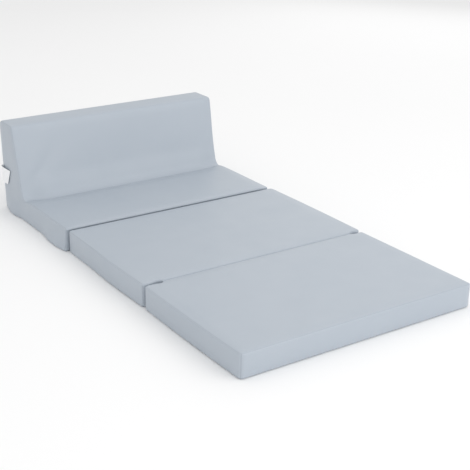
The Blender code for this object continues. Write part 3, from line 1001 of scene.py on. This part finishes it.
def zip_set(body):
    """The zip of one cushion, drawn lying down and then seated on the cushion's rear face."""
    size = sizes()
    coil_low, coil_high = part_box(f"{body}_zip_coil")
    lean = atan2(REST_LEAN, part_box("back_rest_cover")[1].z) if body == "back" else 0.0
    drawn = {"foot": size.gap_draw, "middle": size.rear_draw, "back": 0}[body]
    base_y = (coil_low.y + coil_high.y) / 2 - COIL_LIFT * cos(lean) - drawn
    origin = Vector((0, base_y, (coil_low.z + coil_high.z) / 2))
    end = coil_high.x + TAPE_BEYOND
    half = size.zip_slot / 2

    tape = add_box(f"{body}_woven_tape", Vector((-end, -half - TAPE_LAP, TAPE_BOTTOM)),
                   Vector((end, half + TAPE_LAP, TAPE_TOP)))
    cut(X, steps_between(-end, end, STRIP_CELL)[1:-1])
    cut(Y, [-half + TAPE_EDGE, -COIL_CHANNEL, COIL_CHANNEL, half - TAPE_EDGE])
    pick("FACE", lambda face: face.normal.z > 0.99
         and COIL_CHANNEL < abs(face.calc_center_median().y) < half - TAPE_EDGE)
    bpy.ops.mesh.inset(thickness=0.3 * MM, depth=0.12 * MM)
    to_mode("OBJECT")
    soften(tape, 0.15 * MM)

    coil = two_rows(f"{body}_nylon_coil", TURN_LONG, COIL_THICK,
                    lambda side: (side * size.tooth_pitch / 4, side * TURN_OFFSET, COIL_THICK / 2),
                    lambda side: pi / 2 + side * TURN_LEAN, coil_high.x, size.tooth_pitch)
    stitches = two_rows(f"{body}_zip_stitches", size.stitch, size.thread,
                        lambda side: (0, side * (half + STITCH_LINE), 0.1 * MM),
                        lambda side: 0, end, size.stitch + size.stitch_gap)
    slider = slider_shell(f"{body}_slider_shell", *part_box(f"{body}_zip_slider"))
    for piece, finish_name, rider, slot in (
            (tape, "woven_tape", body, "zip_tape"), (coil, "nylon_coil", body, "zip_coil"),
            (stitches, "twisted_thread", body, "zip_tape"),
            (slider, "plated_zinc", f"{body}_slider", "zip_slider")):
        piece.data.transform(Matrix.Translation(origin) @ Matrix.Rotation(-pi / 2 - lean, 4, "X"))
        dress(piece, finish_name)
        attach(piece, rider)
        if piece is not stitches:
            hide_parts(f"{body}_{slot}")


def slider_shell(name, low, high):
    """The slider: a wedge-shaped cap with two flanges, and a low bridge where a pull would hang."""
    long = high.x - low.x
    middle = (high.x + low.x) / 2
    wide, cap_low, cap_high = 7 * MM, 1.25 * MM, 2.1 * MM
    shells = [add_box(name, Vector((middle - long / 2, -wide / 2, cap_low)),
                      Vector((middle + long / 2, wide / 2, cap_high)))]
    cut(X, [middle - long * 0.22, middle + long * 0.1])
    for side, narrowed in ((-1, 0.62), (1, 0.86)):
        pick("VERT", lambda vert: (vert.co.x - middle) * side > long * 0.45)
        bpy.ops.transform.resize(value=(1, narrowed, 1), center_override=(middle, 0, cap_low))
    to_mode("OBJECT")
    flange_half, flange_foot, flange_lap = 0.35 * MM, 0.1 * MM, 0.2 * MM
    for line in (-wide * 0.43, wide * 0.43):
        shells.append(add_box("flange", Vector((middle - long * 0.34, line - flange_half, flange_foot)),
                              Vector((middle + long * 0.42, line + flange_half, cap_low + flange_lap))))
        to_mode("OBJECT")
    for shell in shells:
        soften(shell, 0.22 * MM, 3)
    start_clean()
    bpy.ops.mesh.primitive_torus_add(major_segments=16, minor_segments=8, major_radius=1.5 * MM,
                                     minor_radius=0.32 * MM, location=(middle, 0, cap_high - 0.75 * MM),
                                     rotation=(pi / 2, 0, 0))
    shells.append(settled("bridge"))
    to_mode("EDIT")
    pick("VERT", lambda vert: vert.co.z < cap_high - 0.3 * MM)
    bpy.ops.mesh.delete(type="VERT")
    bpy.ops.mesh.select_all(action="SELECT")
    bpy.ops.mesh.fill_holes(sides=0)
    to_mode("OBJECT")
    return join(name, shells)


# Label

# The curve of the label seen from above, as four guides in mm: its distance from the side face and how much
# that changes down the label, and the same from the rear seam
LABEL_GUIDES = ((1.5, 0, -1.5, 0), (-18, 1, 7, -4), (-16, 4, -16, -4), (-8, -1, -74, 28))
LABEL_WAVE = 1 * MM
TOP_DROP, LOW_DROP = 4 * MM, 2 * MM


def blank_label():
    """The white label, blank: it leaves the rear left seam, curls outward and hangs forward."""
    low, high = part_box("back_label")
    side_face = -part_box("foot_right_side")[1].x
    tall = high.z - low.z
    start_clean()
    bpy.ops.mesh.primitive_grid_add(x_subdivisions=26, y_subdivisions=18, size=1)
    piece = settled("woven_label")
    share = points_of(piece.data) + 0.5
    along, up = share[:, X], share[:, Y]
    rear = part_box("back_left_side")[1].y - REST_LEAN * (1 - (low.z + tall * up) / CAD_BOX[1].z)
    drop, rest = 1 - up, 1 - along
    weights = (rest ** 3, 3 * rest ** 2 * along, 3 * rest * along ** 2, along ** 3)
    x = sum(weight * (side_face + (guide[0] + guide[1] * drop) * MM)
            for weight, guide in zip(weights, LABEL_GUIDES))
    y = sum(weight * (rear + (guide[2] + guide[3] * drop) * MM) for weight, guide in zip(weights, LABEL_GUIDES))
    x -= LABEL_WAVE * np.sin(along * 2.2 * pi) * up * drop
    z = low.z + tall * up - along ** 2 * (TOP_DROP * up + LOW_DROP * drop)
    place_points(piece.data, np.stack([x, y, z], axis=1))
    use(piece, "SOLIDIFY", thickness=sizes().label, offset=0)
    soften(piece, 0.12 * MM)
    dress(piece, "woven_satin")
    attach(piece, "back")
    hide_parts("back_label")


# Stage

# Name, size in metres, energy in watts and place of each soft light
SOFT_LIGHTS = (
    ("soft_light_above", 4.0, 15, (0, 0.4, 4.2)),
    ("soft_light_front", 3.0, 28, (0.3, -4.6, 1.7)),
    ("soft_light_front_right", 3.0, 38, (2.4, -3.2, 3.0)),
    ("soft_light_front_left", 3.0, 11, (-3.0, -3.0, 1.8)),
    ("soft_light_back_right", 3.0, 12, (3.6, 2.6, 2.0)),
)
STUDIO_LIGHT = 0.82
FLOOR_DROP = 0.5 * MM

# The camera: what it circles, its azimuth, elevation and roll in degrees, its distance and its lens in mm
CAMERA_CENTRE = (-0.0461, -0.1556, 0.0813)
CAMERA_TURN = (-34.03, 22.33, 0.86)
CAMERA_DISTANCE, CAMERA_SENSOR, CAMERA_LENS = 3.312, 36, 80.68
CAMERA_SHIFT = (0.0171, 0.0234)


def lamp(name, size, energy, place):
    """A square soft light that looks at the sofa."""
    start_clean()
    bpy.ops.object.light_add(type="AREA", location=place)
    light = bpy.context.active_object
    light.name = name
    light.data.shape = "SQUARE"
    light.data.size = size
    light.data.energy = energy
    light.rotation_euler = (-Vector(place)).to_track_quat("-Z", "Y").to_euler()


def stage_set():
    """Pale floor, soft studio light, and the camera where the photograph was taken from."""
    start_clean()
    bpy.ops.mesh.primitive_plane_add(size=40, location=(0, 0, -FLOOR_DROP))
    floor = bpy.context.active_object
    floor.name = "floor"
    floor.data.materials.append(finish_of("matt_floor"))

    for light in SOFT_LIGHTS:
        lamp(*light)
    world = bpy.data.worlds.new("studio")
    bpy.context.scene.world = world
    world.use_nodes = True
    background = world.node_tree.nodes["Background"]
    background.inputs["Color"].default_value = linear("#FFFFFF")
    background.inputs["Strength"].default_value = STUDIO_LIGHT
    bpy.context.scene.view_settings.view_transform = "Standard"

    azimuth, elevation, roll = (radians(angle) for angle in CAMERA_TURN)
    back = Vector((sin(azimuth) * cos(elevation), -cos(azimuth) * cos(elevation), sin(elevation)))
    right = Vector((0, 0, 1)).cross(back).normalized()
    up = back.cross(right)
    right, up = right * cos(roll) + up * sin(roll), up * cos(roll) - right * sin(roll)
    bpy.ops.object.camera_add(location=Vector(CAMERA_CENTRE) + back * CAMERA_DISTANCE)
    camera = bpy.context.active_object
    camera.rotation_euler = Matrix((right, up, back)).transposed().to_euler()
    camera.data.sensor_width = CAMERA_SENSOR
    camera.data.lens = CAMERA_LENS
    camera.data.shift_x, camera.data.shift_y = CAMERA_SHIFT
    camera.data.clip_end = 100
    bpy.context.scene.camera = camera


# Add-on


class SOFA_OT_flat_cushions(bpy.types.Operator):
    """Model the foot and middle cushions as stuffed vinyl covers"""
    bl_idname = "sofa.flat_cushions"
    bl_label = "Flat Cushions"

    def execute(self, context):
        flat_cushion("foot", False, True, 11)
        flat_cushion("middle", True, True, 23)
        return {"FINISHED"}


class SOFA_OT_back_cushion(bpy.types.Operator):
    """Model the section with the backrest as one stuffed vinyl cover"""
    bl_idname = "sofa.back_cushion"
    bl_label = "Back Section"

    def execute(self, context):
        back_cushion(37)
        return {"FINISHED"}


class SOFA_OT_hinge_strips(bpy.types.Operator):
    """Model the two fabric hinges that join the three cushions"""
    bl_idname = "sofa.hinge_strips"
    bl_label = "Hinge Strips"

    def execute(self, context):
        hinge_strip("top_hinge_strip", "foot", "middle", "foot_hinge_leaf", "middle_front_hinge_leaf", True)
        hinge_strip("bottom_hinge_strip", "middle", "back", "middle_rear_hinge_leaf", "back_hinge_leaf", False)
        return {"FINISHED"}


class SOFA_OT_zips(bpy.types.Operator):
    """Model the zip behind each cushion: tape, coil, slider and stitches"""
    bl_idname = "sofa.zips"
    bl_label = "Zips"

    def execute(self, context):
        for body in ("foot", "middle", "back"):
            zip_set(body)
        return {"FINISHED"}


class SOFA_OT_label(bpy.types.Operator):
    """Model the blank white label in the rear left seam"""
    bl_idname = "sofa.label"
    bl_label = "Blank Label"

    def execute(self, context):
        blank_label()
        return {"FINISHED"}


class SOFA_OT_stage(bpy.types.Operator):
    """Set the floor, the lights and the camera"""
    bl_idname = "sofa.stage"
    bl_label = "Stage"

    def execute(self, context):
        stage_set()
        return {"FINISHED"}


OPERATORS = (SOFA_OT_flat_cushions, SOFA_OT_back_cushion, SOFA_OT_hinge_strips, SOFA_OT_zips, SOFA_OT_label,
             SOFA_OT_stage)


class SOFA_PT_panel(bpy.types.Panel):
    bl_idname = "SOFA_PT_panel"
    bl_label = "Flip Open Sofa"
    bl_space_type = "VIEW_3D"
    bl_region_type = "UI"
    bl_category = "Sofa"

    def draw(self, context):
        for group in (context.scene.sofa_sizes, context.scene.sofa_colours):
            box = self.layout.box()
            for name in group.__annotations__:
                box.prop(group, name)
        for operator in OPERATORS:
            self.layout.operator(operator.bl_idname)


CLASSES = (SofaSizes, SofaColours, *OPERATORS, SOFA_PT_panel)


def register():
    for item in CLASSES:
        bpy.utils.register_class(item)
    bpy.types.Scene.sofa_sizes = PointerProperty(type=SofaSizes)
    bpy.types.Scene.sofa_colours = PointerProperty(type=SofaColours)


def unregister():
    del bpy.types.Scene.sofa_colours
    del bpy.types.Scene.sofa_sizes
    for item in reversed(CLASSES):
        bpy.utils.unregister_class(item)


def main():
    register()
    bpy.ops.sofa.stage()
    bpy.ops.sofa.flat_cushions()
    bpy.ops.sofa.back_cushion()
    bpy.ops.sofa.hinge_strips()
    bpy.ops.sofa.zips()
    bpy.ops.sofa.label()


if __name__ == "__main__":
    main()
